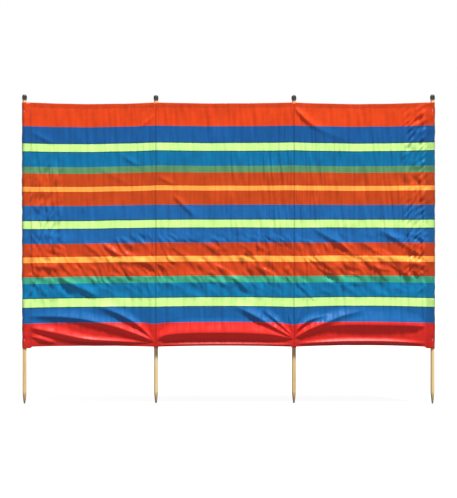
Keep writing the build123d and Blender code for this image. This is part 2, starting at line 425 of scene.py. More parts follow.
def arch(bay, x):
    """0 at the ends of a bay and 1 in its middle."""
    left, right = bay_ends[bay]
    share = np.clip((x - left) / (right - left), 0, 1)
    return 4 * share * (1 - share)


def puff(bay, x):
    """Beside a fold line the cloth puffs out before it turns in to the seam."""
    out = 0 * x
    for end, folds in zip(bay_ends[bay], (bay > 0, bay < 2)):
        near = np.abs(x - end) / PUFF_PLACE
        out += (PUFF if folds else END_PUFF) * near * np.exp(1 - near)
    return out


def kept_in_room(bay, out, x):
    """Eases the lift to nothing at the fold lines, so that the bays clear each other when folded."""
    left, right = bay_ends[bay]
    from_left = np.abs(x - left) + (END_ROOM if bay == 0 else 0)
    from_right = np.abs(right - x) + (END_ROOM if bay == 2 else 0)
    away = np.minimum(from_left, from_right)
    out = out * (1 - np.exp(-((np.maximum(away - FLAT_EDGE, 0) / RISE_LENGTH) ** 2))) + puff(bay, x)
    front = np.minimum(ROOM_IN_FRONT * away, MOST_IN_FRONT + belly * arch(bay, x)) + TINY
    back = np.minimum(ROOM_BEHIND * away, MOST_BEHIND) + TINY
    return np.where(out > 0, front * np.tanh(out / front), back * np.tanh(out / back))


sample = kept_in_room(1, np.full(3, 12.0), fold_lines[0] + np.array([1.0, 10.0, 100.0]))
print("a lift of 12 mm becomes, at 1, 10 and 100 mm from a fold line:", np.round(sample, 1))

# %% [markdown]
# ## The edges, and the slip in the cloth
# The top edge sags between the poles and the bottom edge is drawn up. The stripes aren't dead level
# either: at the first pole the cloth has slipped down its pole a little, and at the feet of the inner
# poles the gathers pull the lowest stripe boundary down.

# %% The top and bottom edges and the slip
TOP_SAG, BOTTOM_RISE = (7, 4, 7), (4, 5, 7)  # in the middle of each bay, in mm
TOP_RIPPLE, BOTTOM_RIPPLE = 1.1, 1.0
FIRST_SLIP = 7.5  # at the first pole, in mm
SLIP_RIPPLE = 0.9
# for each gather: x, height, half its width, half its height and its pull, in mm
GATHERS = (fold_lines[1] - 4, 112, 46, 52, 8), (fold_lines[0] - 6, 108, 40, 50, 5)


def edge_heights(bay, x):
    """The heights of the bottom and top edges of the cloth over the ground, in mm."""
    sag = TOP_SAG[bay] - TOP_RIPPLE * wrinkles(x, x * 0, 90, 120, 0, 81 + bay)
    rise = BOTTOM_RISE[bay] + BOTTOM_RIPPLE * wrinkles(x, x * 0, 90, 100, 0, 91 + bay)
    return cloth_bottom / MM + rise * arch(bay, x), cloth_top / MM - sag * arch(bay, x)


def slip(bay, x, h):
    """How far the stripes are pulled down, in mm."""
    free = np.sin(np.pi * np.clip(h / height_mm, 0, 1)) ** 0.5
    down = SLIP_RIPPLE * free * wrinkles(x, h, 60, 200, 0, 101)
    if bay == 0:
        down += FIRST_SLIP * np.clip(1 - x / fold_lines[0], 0, 1) * free
    for place, height, wide, high, pull in GATHERS:
        down += pull * np.exp(-(((x - place) / wide) ** 2) - ((h - height) / high) ** 2)
    return down


sample = np.round(edge_heights(0, np.array([320.0])), 1).ravel()
print("in the middle of bay 1 the edges are at", sample, "mm")

# %% [markdown]
# ## One strip of cloth for each bay
# On the real windbreak the cloth of an end bay runs on round its pole and is sewn down behind, which makes
# the sleeve. Top and bottom edges are turned to the back as hems. So each bay is modelled as one sheet that
# does the same. Its columns follow a path in plan, its rows go up the back of the lower hem, over the
# front and down the back of the upper hem. Separate strips for hems and sleeves would leave gaps that
# cloth doesn't have.

# %% The path round an end pole
SLEEVE_RADIUS = 11.6  # of the middle of the cloth, in mm
SLEEVE_REACH = end_seams[0]  # from the end pole's axis to its stitches
SLEEVE_GAP = 0.5  # from the middle of the seam to the middle of either layer
SEWN_DOWN = 9  # cloth past the stitches, behind the bay
SEWN_BACK = 0.3  # and how much further back that cloth lies


def end_sleeve_path():
    """Points (x, y) and outward normals from behind the stitches, round the pole, to the stitches in front.

    They are for the first pole, and the last pole's are their mirror image.
    """
    slope = math.asin((SLEEVE_RADIUS - SLEEVE_GAP) / SLEEVE_REACH)
    turn = math.pi / 2 - slope
    flank = SLEEVE_REACH * math.cos(slope)
    points, normals = [], []
    for away in np.linspace(SLEEVE_REACH + SEWN_DOWN, SLEEVE_REACH, 3)[:-1]:
        points.append((away, SLEEVE_GAP + SEWN_BACK))
        normals.append((0, 1))
    for run in np.linspace(0, flank, 7)[:-1]:
        points.append((SLEEVE_REACH - run * math.cos(slope), SLEEVE_GAP + run * math.sin(slope)))
        normals.append((math.sin(slope), math.cos(slope)))
    for angle in np.linspace(turn, 2 * math.pi - turn, 23):
        points.append((SLEEVE_RADIUS * math.cos(angle), SLEEVE_RADIUS * math.sin(angle)))
        normals.append((math.cos(angle), math.sin(angle)))
    for run in np.linspace(flank, 0, 7)[1:-1]:
        points.append((SLEEVE_REACH - run * math.cos(slope), -SLEEVE_GAP - run * math.sin(slope)))
        normals.append((math.sin(slope), -math.cos(slope)))
    return np.array(points), np.array(normals)


sleeve_path, sleeve_normals = end_sleeve_path()
print("an end sleeve has", len(sleeve_path), "columns")

# %% The columns of a bay
FOLD_PLACES, FOLD_STEPS = (0, 6, 16, 100, 170), (0.8, 1.8, 2.6, 2.6, 5.0)  # mm from a fold line
SEWN_PLACES, SEWN_STEPS = (0, 6, 16), (0.8, 2.2, 4.8)  # mm from an end sleeve's seam
HEM_FREE = 6  # the hem stops this far from a fold line
FOLD_GAP = 0.75  # and the cloth here, because on the line itself it has turned back into the sleeve
SLEEVE_FLAT = 8  # the bay's folds run out before they come this near to the end pole's axis
SLEEVE_LIFT = 0.98  # their share at the seam: below 1, which is for the bay's own columns


def graded(length, places, steps):
    """Numbers from 0 to a length, with a step that changes from place to place."""
    numbers = [0.0]
    while numbers[-1] < length:
        numbers.append(numbers[-1] + np.interp(numbers[-1], places, steps))
    return np.array(numbers) * length / numbers[-1]


def end_pole_x(bay):
    """Where the pole is that an end bay's sleeve goes round."""
    return axes_mm[0 if bay == 0 else -1][0]


def on_front(bay, x):
    """Places in plan on the front of a bay, and their outward normals."""
    return np.stack([x, belly * arch(bay, x)], 1), np.tile((0.0, -1.0), (len(x), 1))


def columns(bay):
    """For each column: place in plan, outward normal, share of the lift, and whether it has a hem."""
    left, right = bay_ends[bay]
    half = (right - left) / 2
    by_fold = FOLD_GAP + graded(half - FOLD_GAP, FOLD_PLACES, FOLD_STEPS)
    by_sleeve = graded(half, SEWN_PLACES, SEWN_STEPS)
    x = np.concatenate([left + (by_fold if bay > 0 else by_sleeve)[:-1],
                        (right - (by_fold if bay < 2 else by_sleeve))[::-1]])
    hemmed = np.ones(len(x), bool)
    if bay > 0:
        hemmed &= x > left + HEM_FREE - 0.1
    if bay < 2:
        hemmed &= x < right - HEM_FREE + 0.1
    front = *on_front(bay, x), np.ones(len(x)), hemmed
    if bay == 1:
        return front
    mirror = (1 if bay == 0 else -1), 1
    past_stitches = np.hypot(*sleeve_path.T) > SLEEVE_REACH + 0.2
    share = np.clip((sleeve_path[:, 0] - SLEEVE_FLAT) / (SLEEVE_REACH - SLEEVE_FLAT), 0, 1)
    lifted = np.where(past_stitches, 1.0, SLEEVE_LIFT * share ** 1.5)
    on_pole = np.abs(sleeve_path[:, 0]) < SLEEVE_RADIUS
    sleeve = sleeve_path * mirror + (end_pole_x(bay), 0), sleeve_normals * mirror, lifted, on_pole
    if bay == 0:
        return [np.concatenate(pair) for pair in zip(sleeve, front)]
    return [np.concatenate([a, b[::-1]]) for a, b in zip(front, sleeve)]


print("columns in each bay:", [len(columns(bay)[0]) for bay in range(3)])

# %% The rows of a bay
ROW_PLACES, ROW_STEPS = (0, 190, 250, 560, 620), (3.0, 3.0, 5.0, 5.0, 8.0)  # mm up the cloth
HEM = 22
HEM_BACK = 1.0  # from the middle of the front layer to the middle of the hem


def rows():
    """For each row: height on the cloth, distance behind its front, a small rise, and height when flat."""
    hem = np.linspace(HEM, 0, 6)[:-1]
    radius = HEM_BACK / 2
    bend = [(radius - radius * math.cos(a), radius * math.sin(a)) for a in np.radians([150, 110, 70, 30])]
    table = [(h, HEM_BACK, 0, -h) for h in hem]
    table += [(0, back, -rise, 0) for back, rise in bend]
    table += [(h, 0, 0, h) for h in graded(height_mm, ROW_PLACES, ROW_STEPS)]
    table += [(height_mm, back, rise, height_mm) for back, rise in bend[::-1]]
    table += [(height_mm - h, HEM_BACK, 0, height_mm + h) for h in hem[::-1]]
    first = len(hem) + len(bend)
    return np.array(table), (first, len(table) - first - 1)


row_table, front_rows = rows()
print("a bay has", len(row_table), "rows, of which the front has", front_rows[1] - front_rows[0] + 1)

# %% [markdown]
# ## Cloth that lies on a pole
# A sleeve is a little wider than its pole, so its cloth dents and swells, and a staple pins it down on the
# wood. It also reaches below the hem of its bay. A smooth tube would look like moulded plastic.

# %% The shape of the sleeves' cloth
STAPLE_HEIGHTS = 36, height_mm - 42  # on the cloth, in mm
PIN_LENGTH, PIN_SOFT, PIN_WIDTH = 9, 8, 5  # how far a staple holds the cloth down, up and across the pole
NO_STAPLE = 99  # further aside than any staple holds, in mm
LYING_ON_POLE = pole_radius / MM + 0.3  # how far from the pole's axis cloth is that lies on the wood
SLEEVE_STEP = 3.0  # from one column of a sleeve to the next, about
DROP_FADE = 22  # how far up the cloth the drop to the sleeve's end is felt
SHOULDER, SHOULDER_LENGTH = 12, 14  # the drop ends this far past the seam, on a slope of this length


def pinned(aside, height):
    """1 where a staple holds the cloth of a sleeve down on its pole, and fading to 0 round it."""
    past = [np.maximum(np.abs(height - at) - PIN_LENGTH, 0) / PIN_SOFT for at in STAPLE_HEIGHTS]
    return sum(np.exp(-(away ** 2)) for away in past) * np.exp(-((aside / PIN_WIDTH) ** 2))


def sleeve_crinkle(bay, plan, up):
    """Small dents and swells in the cloth of an end sleeve."""
    along = np.arange(len(plan))[:, None] * SLEEVE_STEP
    swell = 0.5 + 1.6 * wrinkles(along, up, 26, 60, 62, 111) + 0.9 * wrinkles(along, up, 12, 40, 80, 112)
    swell = np.maximum(swell, LYING_ON_POLE - SLEEVE_RADIUS)
    in_front = plan[:, 1] < -SLEEVE_RADIUS / 2
    aside = np.where(in_front, plan[:, 0] - end_pole_x(bay), NO_STAPLE)[:, None]
    return swell + (LYING_ON_POLE - SLEEVE_RADIUS - swell) * pinned(aside, up)


def drop(h):
    """How far a sleeve's cloth is drawn down, in mm, at heights on the cloth."""
    return sleeve_drop * np.exp(-h / DROP_FADE)


def over_sleeve(bay, plan):
    """1 over an end pole's sleeve and 0 on the bay, with a short slope between."""
    if bay == 1:
        return np.zeros(len(plan))
    away = np.abs(plan[:, 0] - end_pole_x(bay))
    return smooth(np.clip((SLEEVE_REACH + SHOULDER - away) / SHOULDER_LENGTH, 0, 1))


print("on the wood, the cloth is", round(LYING_ON_POLE, 1), "mm from the pole's axis")


# %% The points of a bay
def cloth_points(bay, plan, normal, lifted, table):
    """The sheet's points in mm, for the columns and rows given."""
    x, h = np.repeat(plan[:, 0], len(table)), np.tile(table[:, 0], len(plan))
    shape = len(plan), len(table)
    seam = bay_ends[bay][0 if bay == 0 else 1]
    clear = np.where(np.repeat(lifted, len(table)) == 1, x, seam)
    out = kept_in_room(bay, lift(bay, clear, h), clear).reshape(shape) * lifted[:, None]
    bottom, top = (edge.reshape(shape) for edge in edge_heights(bay, x))
    z = bottom + (top - bottom) * table[:, 0] / height_mm + table[:, 2]
    z -= over_sleeve(bay, plan)[:, None] * drop(table[:, 0]) + slip(bay, x, h).reshape(shape)
    back = (1 - lifted)[:, None] * sleeve_crinkle(bay, plan, table[:, 0]) - table[:, 1]
    px = plan[:, :1] + normal[:, :1] * back
    py = plan[:, 1:] + normal[:, 1:] * back - out
    return np.stack([px, py, z], 2)


sample = cloth_points(1, *on_front(1, np.array([1000.0])), np.ones(1), row_table)[0, :, 1]
print("one column of bay 2 goes from", round(sample.min(), 1), "to", round(sample.max(), 1), "mm in depth")

# %% [markdown]
# ## From numbers to a mesh
# The sheet is a grid of four-sided faces, and every vertex also gets its place on the flat cloth in the UV
# map, in metres. Stripes and weave read that map, so they follow each fold as dyed yarn does. A Solidify
# modifier gives the sheet its real thickness.

# %% Helpers for cloth meshes
CLOTH_THICK = 0.36


def make_mesh(name, points, faces):
    """A smooth piece in the scene from lists of points and faces."""
    mesh = bpy.data.meshes.new(name)
    mesh.from_pydata(points.tolist(), [], faces)
    mesh.polygons.foreach_set("use_smooth", [True] * len(mesh.polygons))
    piece = bpy.data.objects.new(name, mesh)
    bpy.context.scene.collection.objects.link(piece)
    return piece


def make_cloth(name, points, faces, flat, behind):
    """A thin sheet that knows its place on the flat cloth, and from 0 to 1 the painted shade of what lies
    behind it.
    """
    piece = make_mesh(name, points * MM, faces.tolist())
    layer = piece.data.uv_layers.new(name="flat_cloth")
    layer.data.foreach_set("uv", flat[faces].ravel() * MM)
    attribute = piece.data.attributes.new("painted_shade_behind", "FLOAT", "POINT")
    attribute.data.foreach_set("value", behind.astype(np.float32))
    solid = piece.modifiers.new("cloth thickness", "SOLIDIFY")
    solid.thickness = CLOTH_THICK * MM
    solid.offset = 0
    print(name, "is", round(np.ptp(flat[:, 0])), "mm wide when flat, with", len(faces), "faces")
    return piece


def sheet_faces(across, up):
    """Four-sided faces of a grid: one for each column and row, with its four corners last."""
    i, j = np.meshgrid(np.arange(across - 1), np.arange(up - 1), indexing="ij")
    return np.stack([i * up + j, (i + 1) * up + j, (i + 1) * up + j + 1, i * up + j + 1], 2)


def flat_places(plan, heights):
    """Where the points are on the flat cloth, and how wide that is, in mm."""
    widths = np.concatenate([[0], np.cumsum(np.hypot(*np.diff(plan, axis=0).T))])
    return np.stack([np.repeat(widths, len(heights)), np.tile(heights, len(plan))], 1), widths[-1]


print("the cloth is", CLOTH_THICK, "mm thick")

# %% What lies behind the cloth
# Each number below is painted shade: it darkens the cloth's colour, and takes away its glow, where that
# thing lies behind.
SEAM_BEHIND, NECK_BEHIND, HEM_BEHIND = 0.25, 0.8, 0.4  # how much light each of them keeps out
LAYER_BEHIND, POLE_BEHIND = 0.1, 0.9  # the same for the far side of an end sleeve and the pole in it
TUBE_BEHIND = 0.25  # and for what is in an inner sleeve
POLE_PLACE, POLE_SOFT = 22, 15  # the pole starts this far past the seam, and is full after this length
SEAM_WIDTH, NECK_WIDTH = 4, 3.5


def painted_shade_behind(bay, plan, table):
    """1 where a pole, a seam or a hem lies behind the cloth, so that no light comes through it. The
    material paints this as shade on the cloth's colour.
    """
    left, right = bay_ends[bay]
    inside = np.minimum(plan[:, 0] - left, right - plan[:, 0])
    sleeve = LAYER_BEHIND * (inside < 0) + POLE_BEHIND * np.clip((-inside - POLE_PLACE) / POLE_SOFT, 0, 1)
    pinched = np.minimum(*(np.abs(plan[:, 0] - line) for line in fold_lines))
    neck = NECK_BEHIND * np.exp(-((pinched / NECK_WIDTH) ** 2))
    seam = SEAM_BEHIND * np.exp(-((inside / SEAM_WIDTH) ** 2))
    across = np.maximum(sleeve, np.maximum(neck, seam))[:, None]
    to_edge = np.minimum(table[:, 3], height_mm - table[:, 3])
    return np.maximum(across, HEM_BEHIND * (to_edge < HEM + 0.5))


sample = painted_shade_behind(0, columns(0)[0], row_table)
print("behind bay 1 there is from", round(sample.min(), 2), "to", round(sample.max(), 2))


# %% Build the three bays
def make_bay(bay):
    """One bay with its hems and its end sleeve, and how wide its cloth is when flat, in metres."""
    plan, normal, lifted, hemmed = columns(bay)
    points = cloth_points(bay, plan, normal, lifted, row_table).reshape(-1, 3)
    flat, width = flat_places(plan, row_table[:, 3])
    behind = painted_shade_behind(bay, plan, row_table).ravel()
    row = np.arange(len(row_table) - 1)
    front = (row >= front_rows[0]) & (row < front_rows[1])
    kept = front[None, :] | (hemmed[:-1] & hemmed[1:])[:, None]
    used, faces = np.unique(sheet_faces(len(plan), len(row_table))[kept], return_inverse=True)
    name = f"cloth_bay_{bay + 1}"
    return make_cloth(name, points[used], faces.reshape(-1, 4), flat[used], behind[used]), width * MM


bays = [make_bay(bay) for bay in range(3)]

# %% [markdown]
# ## The sleeves of the inner poles
# At an inner pole the cloth is pinched together behind the bay and sewn, and the pole slides into the loop
# behind the stitches. From the back it is a soft tube that hangs from the seam. It turns with its pole by
# half of the fold, so it is a piece of its own.

# %% The shape of an inner sleeve
INNER_RADIUS = 11.2  # of the middle of the cloth round the pole, in mm
NECK = 6.5  # the two layers lie together up to here
NECK_GAP = 0.32  # from the middle of the neck to the middle of either layer
ROLL = 0.6  # the same where the layers turn over on the fold line, to close the slit between the bays
LOOSE_FROM, LOOSE_LENGTH = 14, 12  # the cloth dents only past the neck, from here on


def inner_sleeve_path():
    """A closed drop in plan: from a small roll on the fold line along the neck, round the pole and back."""
    reach = axes_mm[1][1]
    slope = math.asin((INNER_RADIUS - NECK_GAP) / (reach - NECK))
    side = [(ROLL * math.sin(turn), -ROLL * math.cos(turn)) for turn in np.linspace(0, math.pi / 2, 6)]
    side += [(0.8 * ROLL, 0.4 * ROLL), *((NECK_GAP, y) for y in (0.8 * ROLL, *np.linspace(0.9, NECK, 4)))]
    flank = (reach - NECK) * math.cos(slope)
    for run in np.linspace(0, flank, 7)[1:-1]:
        side.append((NECK_GAP + run * math.sin(slope), NECK + run * math.cos(slope)))
    turns = np.linspace(-slope, math.pi + slope, 27)
    arc = [(INNER_RADIUS * math.cos(turn), reach + INNER_RADIUS * math.sin(turn)) for turn in turns]
    return np.array(side + arc + [(-x, y) for x, y in side[::-1]])


def inner_sleeve_points(number, path, normal, heights):
    """Points of the sleeve's cloth in mm, for places in plan and heights on the cloth."""
    x, y = axes_mm[number - 1]
    along = np.arange(len(path))[:, None] * SLEEVE_STEP
    loose = np.clip((path[:, 1] - LOOSE_FROM) / LOOSE_LENGTH, 0, 1)[:, None]
    dent = loose * (0.3 + 0.55 * wrinkles(along, heights, 26, 60, 62, 120 + number))
    dent += loose * 0.35 * wrinkles(along, heights, 11, 40, 82, 130 + number)
    aside = np.where(path[:, 1] > y, path[:, 0], NO_STAPLE)[:, None]
    dent += (LYING_ON_POLE - INNER_RADIUS - dent) * pinned(aside, heights)
    px = x + path[:, :1] + normal[:, :1] * dent
    py = path[:, 1:] + normal[:, 1:] * dent
    pz = cloth_bottom / MM + heights - drop(heights) - slip(number - 2, x + 0 * heights, heights)
    return np.stack(np.broadcast_arrays(px, py, pz), 2)


inner_path = inner_sleeve_path()
print("an inner sleeve has", len(inner_path), "columns")


# %% Build the inner sleeves
SLEEVE_ROWS = 230


def make_inner_sleeve(number):
    """One inner sleeve, and how far its cloth goes round, in metres."""
    step = np.gradient(inner_path, axis=0)
    normal = np.stack([step[:, 1], -step[:, 0]], 1) / np.hypot(*step.T)[:, None]
    heights = np.linspace(0, height_mm, SLEEVE_ROWS)
    points = inner_sleeve_points(number, inner_path, normal, heights).reshape(-1, 3)
    flat, width = flat_places(inner_path, heights)
    faces = sheet_faces(len(inner_path), SLEEVE_ROWS).reshape(-1, 4)
    behind = np.full(len(points), TUBE_BEHIND)
    return make_cloth(f"cloth_sleeve_{number}", points, faces, flat, behind), width * MM


inner_sleeves = {number: make_inner_sleeve(number) for number in (2, 3)}

# %% [markdown]
# ## Stripes from dyed yarn
# The stripes are woven, so they are exact on the flat cloth and only bend where the cloth bends. A colour
# ramp without blending, read along the height of the UV map, holds all of them in one place. Painting
# faces with separate materials would give ragged edges, since a stripe's edge crosses the faces.


# %% Colours of the stripes
def linear(*levels):
    """A screen colour, 0 to 255, as the light values that shaders take."""
    shares = [level / 255 for level in levels]
    return *(c / 12.92 if c <= 0.04045 else ((c + 0.055) / 1.055) ** 2.4 for c in shares), 1


COLOURS = {
    "lime": linear(196, 238, 140),
    "deep teal": linear(10, 82, 84),
    "centre blue": linear(24, 98, 160),
    "orange red": linear(192, 70, 20),
    "low orange red": linear(192, 64, 20),
    "amber": linear(255, 168, 76),
    "sea green": linear(92, 142, 100),
    "low sea green": linear(60, 160, 128),
    "sea blue": linear(0, 111, 158),
    "low sea blue": linear(0, 116, 164),
    "outer blue": linear(16, 88, 150),
    "low outer blue": linear(14, 92, 152),
    # painted light: the top band's red is painted lighter and more orange than the scarlet below, for the
    # light that falls more on the top
    "painted lit red": linear(220, 70, 20),
    "scarlet": linear(202, 38, 30),
}
# each stripe's name and its outer edge, in mm from the middle of the cloth
UPPER = [("lime", 20), ("deep teal", 25), ("centre blue", 96), ("orange red", 165), ("amber", 190),
         ("orange red", 257), ("sea green", 287), ("sea blue", 358), ("deep teal", 363), ("lime", 400),
         ("deep teal", 405), ("outer blue", 483), ("painted lit red", 600)]
LOWER = [("lime", 18), ("deep teal", 23), ("centre blue", 93), ("low orange red", 159), ("amber", 185),
         ("low orange red", 255), ("low sea green", 287), ("low sea blue", 357), ("deep teal", 362),
         ("lime", 406), ("deep teal", 411), ("low outer blue", 483), ("scarlet", 600)]
full_height = 2 * UPPER[-1][1]
stripe_starts = [(0.5 - edge / full_height, name) for name, edge in reversed(LOWER)]
stripe_starts += [(0.5 + low / full_height, name) for (name, _), (_, low) in zip(UPPER[1:], UPPER)]
print(len(stripe_starts), "stripes over", full_height, "mm")

# %% [markdown]
# ## Materials from nodes
# Every finish below is built in the same way: noise at the scale of the real grain or scuff, turned into a
# small range of colour and roughness, and into a slight bump. The helpers add one node each and link or set
# its inputs, so that a finish reads as a short recipe.


# %% Helpers for materials
def fill(tree, node, inputs):
    """Links each input to another node's socket, or sets it to a plain value."""
    for name, value in inputs.items():
        if isinstance(value, bpy.types.NodeSocket):
            tree.links.new(value, node.inputs[name])
        else:
            node.inputs[name].default_value = value


def add(tree, kind, inputs=None, **settings):
    """A new node with its inputs and its settings."""
    node = tree.nodes.new("ShaderNode" + kind)
    for name, value in settings.items():
        setattr(node, name, value)
    fill(tree, node, inputs or {})
    return node


def noise(tree, place, scale, detail, stretch=None, **inputs):
    """Noise, which a stretch of its place can make long and thin."""
    if stretch:
        place = add(tree, "Mapping", {"Vector": place, "Scale": stretch}).outputs["Vector"]
    inputs.update({"Vector": place, "Scale": scale, "Detail": detail})
    return add(tree, "TexNoise", inputs).outputs["Fac"]


def spread(tree, value, low, high, start=0.0, end=1.0):
    """Turns values from start to end into values from low to high."""
    inputs = {"Value": value, "From Min": start, "From Max": end, "To Min": low, "To Max": high}
    return add(tree, "MapRange", inputs).outputs[0]


def mixed(tree, kind, factor, a, b):
    """Two colours mixed. The three sockets of a colour mix have numbers, as their names aren't unique."""
    return add(tree, "Mix", {0: factor, 6: a, 7: b}, data_type="RGBA", blend_type=kind).outputs[2]


def ramp(tree, value, stops, interpolation="LINEAR"):
    """A colour ramp with a list of places and colours, from low to high."""
    node = add(tree, "ValToRGB", {"Fac": value})
    node.color_ramp.interpolation = interpolation
    elements = node.color_ramp.elements
    while len(elements) < len(stops):
        elements.new(1)
    for element, (place, colour) in zip(elements, stops):
        element.position, element.color = place, colour
    return node.outputs["Color"]


def bump(tree, height, strength, distance, **inputs):
    """A surface that stands up where the height is high."""
    inputs.update({"Height": height, "Strength": strength, "Distance": distance})
    return add(tree, "Bump", inputs).outputs["Normal"]


def new_material(name):
    """A material and its nodes."""
    material = bpy.data.materials.new(name)
    material.use_nodes = True
    return material, material.node_tree


def finish_surface(tree, inputs):
    """Gives a material's own shader its colour, roughness and so on."""
    fill(tree, tree.nodes["Principled BSDF"], inputs)


print("a middle grey of 128 is", round(linear(128)[0], 3), "as light")

# %% [markdown]
# ## Woven cloth
# Windbreak cloth is a plain weave of polyester with a slight shine. Close up it has fine threads both ways,
# and streaks where a thread is thicker. It is thin, so light comes through it and keeps its shaded side
# rich in colour, except where a pole, a seam or a hem lies behind it. The lime yarn is fluorescent too.
# A faint glow in the cloth's own colours paints both in: painted light for what comes through, and the
# lime's fluorescence. Where a pole, a seam or a hem lies behind, the glow is taken away and the colour is
# darkened as painted shade. A translucent shader would let the light through as well, but it makes the
# render slower and noisier.

# %% The cloth material
PAINTED_GLOW = 0.3  # the share of light that comes through
THREAD_PITCH = 0.9 * MM
THREADS = 2 * math.pi / (20 * THREAD_PITCH)  # Blender's wave texture has 20 in its formula


def painted_glow_colour(name):
    """Painted light for the light that comes through a stripe to its dark side. Lime yarn adds its own
    fluorescence.
    """
    if name == "lime":
        return COLOURS[name]
    return *(0.8 * c ** 1.5 for c in COLOURS[name][:3]), 1


def striped(tree, height, colour_of):
    """The stripes along the height of the cloth, which is given from 0 to 1."""
    stops = [(start, colour_of(name)) for start, name in stripe_starts]
    return ramp(tree, height, stops, "CONSTANT")


def threads(tree, flat, direction):
    """Threads that lie side by side in one direction of the flat cloth."""
    inputs = {"Vector": flat, "Scale": THREADS, "Distortion": 0.6, "Detail Scale": 0.4}
    return add(tree, "TexWave", inputs, bands_direction=direction).outputs["Color"]


def make_cloth_material():
    """Striped weave that lets light through."""
    material, tree = new_material("striped cloth")
    flat = add(tree, "UVMap", uv_map="flat_cloth").outputs[0]
    metres_up = add(tree, "SeparateXYZ", {"Vector": flat}).outputs["Y"]
    height = add(tree, "Math", {0: metres_up, 1: cloth_height}, operation="DIVIDE").outputs[0]
    streaks = noise(tree, flat, 1.0, 3.0, stretch=(6, 700, 1))
    patches = noise(tree, flat, 14.0, 4.0)
    behind = add(tree, "Attribute", attribute_name="painted_shade_behind").outputs["Fac"]
    tone = spread(tree, streaks, 0.84, 1.12)
    wear = spread(tree, patches, 0.93, 1.05, 0.3, 0.7)
    colour = striped(tree, height, COLOURS.get)
    # The last factor is painted shade: the colour is darkened by up to 0.4 where a pole, a seam or a hem
    # lies behind.
    for shade in (tone, wear, spread(tree, behind, 1.0, 0.6)):
        colour = mixed(tree, "MULTIPLY", 1.0, colour, shade)
    # Painted light: a glow in the stripes' colours, taken away where something lies behind the cloth.
    glow = mixed(tree, "MULTIPLY", 1.0, striped(tree, height, painted_glow_colour), spread(tree, behind, 1.0, 0.0))
    weave = mixed(tree, "MULTIPLY", 1.0, threads(tree, flat, "X"), threads(tree, flat, "Y"))
    woven = bump(tree, weave, 0.22, 0.15 * MM)
    finish_surface(tree, {
        "Base Color": colour,
        "Roughness": 0.41,
        "Specular IOR Level": 0.24,
        "Sheen Weight": 0.03,
        "Sheen Roughness": 0.4,
        "Emission Color": glow,
        "Emission Strength": PAINTED_GLOW,
        "Normal": bump(tree, streaks, 0.35, 0.25 * MM, Normal=woven),
    })
    return material


cloth_material = make_cloth_material()
for piece, _ in [*bays, *inner_sleeves.values()]:
    piece.data.materials.append(cloth_material)
print("woven cloth with", round(MM / THREAD_PITCH, 2), "threads to the millimetre")

# %% [markdown]
# ## The cloth on its bodies
# Each bay replaces its CAD sheet, hems and end sleeve, and rides on the same body. The inner sleeves ride
# on their posts.

# %% Place the cloth on its bodies
end_sleeves = ["sleeve_1"], [], ["sleeve_4"]
for number, (piece, width) in enumerate(bays, 1):
    nodes = f"panel_{number}", f"top_hem_{number}", f"bottom_hem_{number}"
    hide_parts(*nodes, *end_sleeves[number - 1])
    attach(piece, f"bay_{number}")
for number, (piece, width) in inner_sleeves.items():
    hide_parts(f"sleeve_{number}")
    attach(piece, f"post_{number}")

# %% [markdown]
# ## Rigid pieces by hand
# Poles, caps and staples are made with the modelling operators, as a person would in the viewport: add a
# primitive, pick faces or edges by where they are, then extrude, scale and bevel. The helpers below pick by
# place, so a step never works on the wrong part of the mesh.

# %% Helpers for modelling
NEAR = 1e-5  # two heights that differ by less than this are the same, in metres
pole_bodies = "bay_1", "post_2", "post_3", "bay_3"


def begin(name):
    """Takes the primitive that was just added, in edit mode and with nothing selected."""
    piece = bpy.context.object
    piece.name = piece.data.name = name
    bpy.ops.object.mode_set(mode="EDIT")
    bpy.ops.mesh.select_all(action="DESELECT")
    return piece


def pick(piece, kind, test):
    """Selects the faces whose centre and normal pass the test, or the edges whose two ends do."""
    bpy.ops.mesh.select_mode(type=kind)
    bpy.ops.mesh.select_all(action="DESELECT")
    bpy.ops.object.mode_set(mode="OBJECT")
    mesh = piece.data
    if kind == "FACE":
        for face in mesh.polygons:
            face.select = bool(test(face.center, face.normal))
    else:
        for edge in mesh.edges:
            edge.select = bool(test(*(mesh.vertices[v].co for v in edge.vertices)))
    bpy.ops.object.mode_set(mode="EDIT")


def level(a, b, height):
    """True for an edge that lies at one height."""
    return abs(a.z - height) < NEAR and abs(b.z - height) < NEAR


def bevel_level(piece, height, offset, segments):
    """Rounds the edges that lie at one height."""
    pick(piece, "EDGE", lambda a, b: level(a, b, height))
    bpy.ops.mesh.bevel(offset=offset, segments=segments)


def faces_down(centre, normal):
    """True for a face that looks straight down."""
    return normal.z < -0.9


def finish(piece, angle):
    """Points the faces outwards, puts the place in the mesh, and smooths edges that turn less than this."""
    bpy.ops.mesh.select_all(action="SELECT")
    bpy.ops.mesh.normals_make_consistent(inside=False)
    bpy.ops.object.mode_set(mode="OBJECT")
    bpy.ops.object.transform_apply(location=True, rotation=True, scale=True)
    bpy.ops.object.shade_smooth_by_angle(angle=math.radians(angle))
    piece.select_set(False)
    return piece


def dress(pieces, node, material):
    """Puts a finish on the pieces of all four poles, and each in the place of its own CAD node."""
    for number, (piece, body) in enumerate(zip(pieces, pole_bodies), 1):
        piece.data.materials.append(material)
        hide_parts(f"{node}_{number}")
        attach(piece, body)
    print("each", node, "has", len(pieces[0].data.polygons), "faces")


bpy.ops.object.select_all(action="DESELECT")

# %% [markdown]
# ## Pine poles
# The poles are softwood dowels, turned to a blunt point at one end. A cylinder is extruded down to the
# point, its tip is scaled in, and its edges are rounded a little, as sanding leaves them. Their pine has
# fine grain and broad rings, both drawn out along the pole, and its colour darkens towards the point.

# %% Poles
POINT_LENGTH = 52 * MM
TIP_SHARE = 0.4  # how wide the blunt tip is, as a share of the pole
TIP_ROUND, POINT_ROUND, TOP_ROUND = 1.6 * MM, 6 * MM, 1.5 * MM


